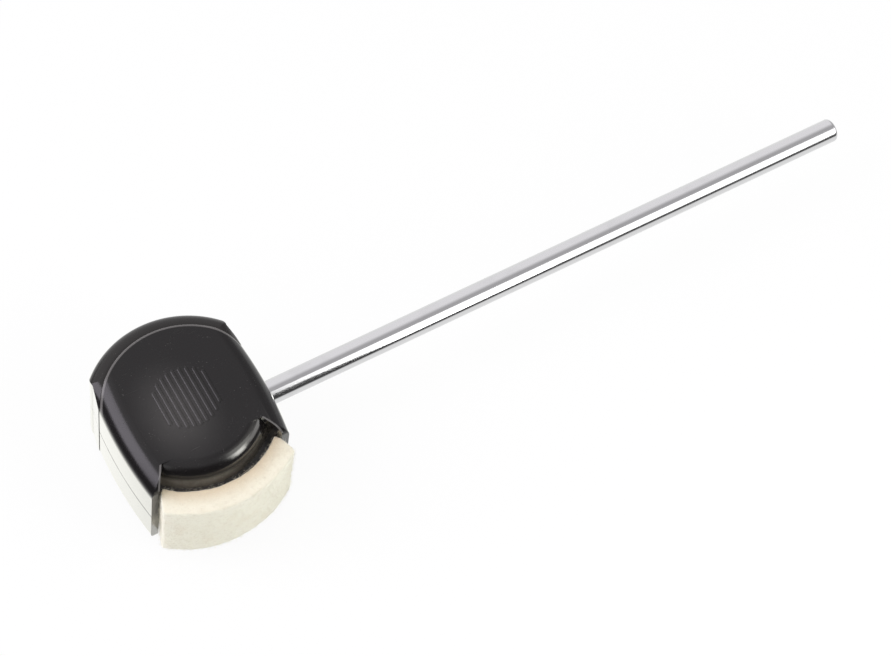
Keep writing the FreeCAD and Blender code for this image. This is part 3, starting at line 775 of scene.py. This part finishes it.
def felt_shift(place, look):
    """How far the felt's skin stands out at a place: slow swells and small tufts."""
    swell = noise.noise(place / SWELL_SIZE)
    tuft = noise.noise(place / TUFT_SIZE) + 0.5 * noise.noise(place / SMALL_TUFT_SIZE)
    return look.swell * (swell - FELT_SINK) + look.nap * (tuft - FELT_SINK)


def fuzz_tree(material):
    """Short bent fibres on the felt's faces outside the shells."""
    tree, graph, given = geometry_tree("felt_fuzz", True, {
        "Length": "NodeSocketFloat",
        "Radius": "NodeSocketFloat",
        "Density": "NodeSocketFloat",
    })
    length = given.beside("Length")
    place = graph.node("GeometryNodeInputPosition")
    in_front = graph.axes(place)[1] < FIBRE_LINE
    open_face = (graph.plan_distance(place, RIM_CENTRE) > FELT_OPEN) * in_front
    points = graph.node("GeometryNodeDistributePointsOnFaces", {}, {
        "Mesh": given,
        "Selection": open_face,
        "Density": given.beside("Density"),
        "Seed": PLACE_SEED,
    })
    stand = points.beside("Rotation")
    middle = graph.node("ShaderNodeCombineXYZ", {}, {"X": length * 0.1, "Z": length * 0.45})
    tip = graph.node("ShaderNodeCombineXYZ", {}, {"X": length * 0.6, "Z": length * 0.6})
    bend = {"Resolution": 3, "Start": (0, 0, 0), "Middle": middle, "End": tip}
    bone = graph.node("GeometryNodeCurveQuadraticBezier", {}, bend)
    thickness = {"Resolution": 3, "Radius": given.beside("Radius")}
    ring = graph.node("GeometryNodeCurvePrimitiveCircle", {}, thickness)
    strand = graph.node("GeometryNodeCurveToMesh", {}, {"Curve": bone, "Profile Curve": ring})
    spin = graph.node("FunctionNodeRandomValue", {"data_type": "FLOAT_VECTOR"}, {
        0: (-FIBRE_LEAN, -FIBRE_LEAN, 0.0),
        1: (FIBRE_LEAN, FIBRE_LEAN, FULL_TURN),
        "Seed": TURN_SEED,
    })
    shares = {2: FIBRE_SHARE[0], 3: FIBRE_SHARE[1], "Seed": LENGTH_SEED}
    scale = graph.node("FunctionNodeRandomValue", {"data_type": "FLOAT"}, shares, output=1)
    turn = graph.node("FunctionNodeEulerToRotation", {}, {0: spin})
    turn = graph.node("FunctionNodeRotateRotation", {"rotation_space": "LOCAL"}, {0: stand, 1: turn})
    fibres = graph.node("GeometryNodeInstanceOnPoints", {}, {
        "Points": points,
        "Instance": strand,
        "Rotation": turn,
        "Scale": scale,
    })
    close_tree(graph, fibres, material)
    return tree


class BEATER_OT_hardware(bpy.types.Operator):
    """Metal and plastic of the pieces inside the head"""

    bl_idname = "beater.hardware"
    bl_label = "Hardware"

    def execute(self, context):
        look = context.scene.beater_hardware
        steel = turned_metal("blackened_steel", look.steel_colour, 0.28)
        finish_nodes(steel, "set_screw", "thrust_washer", "retaining_clip", "shell_screws")
        finish_nodes(turned_metal("turned_brass", look.brass_colour, 0.25), "threaded_inserts")
        finish_nodes(turned_metal("cast_hub", look.hub_colour, 0.4), "hub_block")
        plastic = context.scene.beater_plastic
        finish_nodes(moulded_plastic("plate_plastic", look.plate_colour, plastic), "felt_backing")
        return {"FINISHED"}


class BEATER_OT_stage(bpy.types.Operator):
    """Camera, floor, backdrop and light"""

    bl_idname = "beater.stage"
    bl_label = "Stage"

    def execute(self, context):
        look = context.scene.beater_stage
        place_camera(context.scene, look)
        lay_floor(look)
        paint_world(context.scene)
        hang_lights(look)
        context.scene.view_settings.view_transform = "Standard"
        return {"FINISHED"}


def place_camera(scene, look):
    """Camera at the photograph's angle, rolled about its own axis."""
    level = math.cos(look.elevation)
    sideways = math.sin(look.azimuth) * level
    forwards = -math.cos(look.azimuth) * level
    back = Vector((sideways, forwards, math.sin(look.elevation)))
    flat = Vector((0, 0, 1)).cross(back).normalized()
    right = math.cos(look.roll) * flat + math.sin(look.roll) * back.cross(flat)
    up = back.cross(right)
    data = bpy.data.cameras.new("camera")
    data.lens = look.lens
    data.sensor_width = SENSOR_WIDTH
    data.sensor_fit = "HORIZONTAL"
    camera = bpy.data.objects.new("camera", data)
    turn = Matrix((right, up, back)).transposed().to_4x4()
    camera.matrix_world = Matrix.Translation(Vector(look.aim) + look.distance * back) @ turn
    scene.collection.objects.link(camera)
    scene.camera = camera


def lay_floor(look):
    """Pale floor that shows white in the picture and in gloss, and keeps the shadow."""
    form = bmesh.new()
    bmesh.ops.create_grid(form, x_segments=1, y_segments=1, size=FLOOR_REACH)
    mesh = bpy.data.meshes.new("floor")
    form.to_mesh(mesh)
    form.free()
    for vert in mesh.vertices:
        vert.co.z = FLOOR_HEIGHT - FLOOR_GAP
    floor = new_piece("floor", mesh)
    material, graph = new_material("floor_paper")
    place = graph.place()
    fibre = graph.speckle(place, 3 * MM, 3.0)
    paper = graph.tint(fibre, opaque(look.floor_colour), darker(look.floor_colour, 0.98))
    matte = graph.node("ShaderNodeBsdfDiffuse", {}, {"Color": paper})
    path = graph.node("ShaderNodeLightPath", output="Is Camera Ray")
    gloss = graph.maths("MAXIMUM", path.beside("Is Glossy Ray"), path.beside("Is Transmission Ray"))
    x, y, _ = graph.axes(place)
    left = graph.step(0 - x, look.table_edge - TABLE_FADE, look.table_edge)
    front = graph.step(0 - y, 0.05, 0.15)
    near = 1 - gloss * graph.maths("MAXIMUM", left, front) * 0.9
    level = graph.tint(near, BLACK, WHITE)
    white = graph.node("ShaderNodeEmission", {}, {"Color": level, "Strength": 1.0})
    share = graph.maths("MAXIMUM", path * look.floor_white, gloss)
    close_material(graph, graph.node("ShaderNodeMixShader", {}, {0: share, 1: matte, 2: white}))
    mesh.materials.append(material)


def paint_world(scene):
    """White for the camera; for light and gloss a dim room, darker in front and pale behind."""
    world = bpy.data.worlds.new("room")
    world.use_nodes = True
    scene.world = world
    graph = Graph(world.node_tree)
    way = graph.node("ShaderNodeTexCoord", output="Generated")
    x, y, z = graph.axes(way)
    behind = graph.step(y, 0.05, 0.6) * (1 - graph.step(x, 0.45, 0.8))
    ahead = graph.step(0 - y, 0.25, 0.6) * (1 - graph.step(z, 0.55, 0.85))
    to_left = graph.step(0 - x, 0.3, 0.7)
    near_floor = 1 - graph.step(z, 0.08, 0.2)
    overhead = graph.step(z, 0.5, 0.8) * (1 - graph.step(x, 0.0, 0.2))
    room = 0.52 + behind * 0.5 - ahead * 0.46 + overhead * 0.2
    room = room * (1 - to_left * near_floor * 0.95)
    dim = graph.node("ShaderNodeCombineColor", {}, {0: room, 1: room * 0.985, 2: room * 1.01})
    seen = graph.node("ShaderNodeLightPath", output="Is Camera Ray")
    colour = graph.tint(seen, dim, WHITE)
    shader = graph.node("ShaderNodeBackground", {}, {"Color": colour, "Strength": 1.0})
    graph.node("ShaderNodeOutputWorld", {}, {"Surface": shader})


def hang_lights(look):
    """Two front panels along the shaft, two lamps for the head, a fill and a panel at each side."""
    soft_light("front_panel", (0.48, -0.74, 0.36), (0.48, 0.34), look.front_level, LAMP_WHITE, (0.48, 0, 0))
    soft_light("high_panel", (0.43, -0.46, 0.66), (0.38, 0.44), look.front_level, LAMP_WHITE, (0.43, 0, 0))
    soft_light("near_lamp", (0.16, -0.274, 0.135), (0.17, 0.075), look.near_level, LAMP_WHITE)
    soft_light("rim_glint", (1.096, -1.687, 1.115), (0.95, 0.8), look.glint_level, LAMP_WHITE)
    soft_light("front_fill", (-0.78, -0.4, 0.5), (0.5, 0.5), look.fill_level, LAMP_WHITE)
    soft_light("left_panel", (-0.655, 0.318, 0.53), (0.8, 0.5), look.left_level, LAMP_LAVENDER)
    soft_light("right_panel", (0.714, -0.38, 0.394), (0.4, 0.5), look.right_level, LAMP_COOL)


def soft_light(name, place, size, level, colour, aim=(0, 0, 0)):
    """Area light turned to a point; size is its height and width, level what a mirror would show."""
    data = bpy.data.lights.new(name, "AREA")
    data.shape = "RECTANGLE"
    data.size, data.size_y = size
    data.energy = level * math.pi * size[0] * size[1]
    data.color = colour
    light = bpy.data.objects.new(name, data)
    light.location = place
    light.rotation_euler = (Vector(place) - Vector(aim)).to_track_quat("Z", "X").to_euler()
    bpy.context.scene.collection.objects.link(light)


OPERATORS = [
    BEATER_OT_shells,
    BEATER_OT_striker,
    BEATER_OT_cheek_ribs,
    BEATER_OT_shaft,
    BEATER_OT_felt,
    BEATER_OT_hardware,
    BEATER_OT_stage,
]


class BEATER_PT_panel(bpy.types.Panel):
    """Pieces of the beater with their sizes and colours"""

    bl_label = "Bass Drum Beater"
    bl_idname = "BEATER_PT_panel"
    bl_space_type = "VIEW_3D"
    bl_region_type = "UI"
    bl_category = "Beater"

    def draw(self, context):
        for operator in OPERATORS:
            self.layout.operator(operator.bl_idname)
        for name in SETTINGS:
            group = getattr(context.scene, name)
            box = self.layout.box()
            for key in group.bl_rna.properties.keys():
                if key not in ("rna_type", "name"):
                    box.prop(group, key)


def register():
    """Adds the settings, the operators and the panel."""
    for group in SETTINGS.values():
        bpy.utils.register_class(group)
    for name, group in SETTINGS.items():
        setattr(bpy.types.Scene, name, PointerProperty(type=group))
    for operator in OPERATORS:
        bpy.utils.register_class(operator)
    bpy.utils.register_class(BEATER_PT_panel)


def unregister():
    """Takes away what register adds."""
    bpy.utils.unregister_class(BEATER_PT_panel)
    for operator in reversed(OPERATORS):
        bpy.utils.unregister_class(operator)
    for name, group in reversed(SETTINGS.items()):
        delattr(bpy.types.Scene, name)
        bpy.utils.unregister_class(group)


def main():
    """Builds the beater and its stage."""
    register()
    bpy.ops.beater.shells()
    bpy.ops.beater.striker()
    bpy.ops.beater.cheek_ribs()
    bpy.ops.beater.shaft()
    bpy.ops.beater.felt()
    bpy.ops.beater.hardware()
    bpy.ops.beater.stage()


if __name__ == "__main__":
    main()
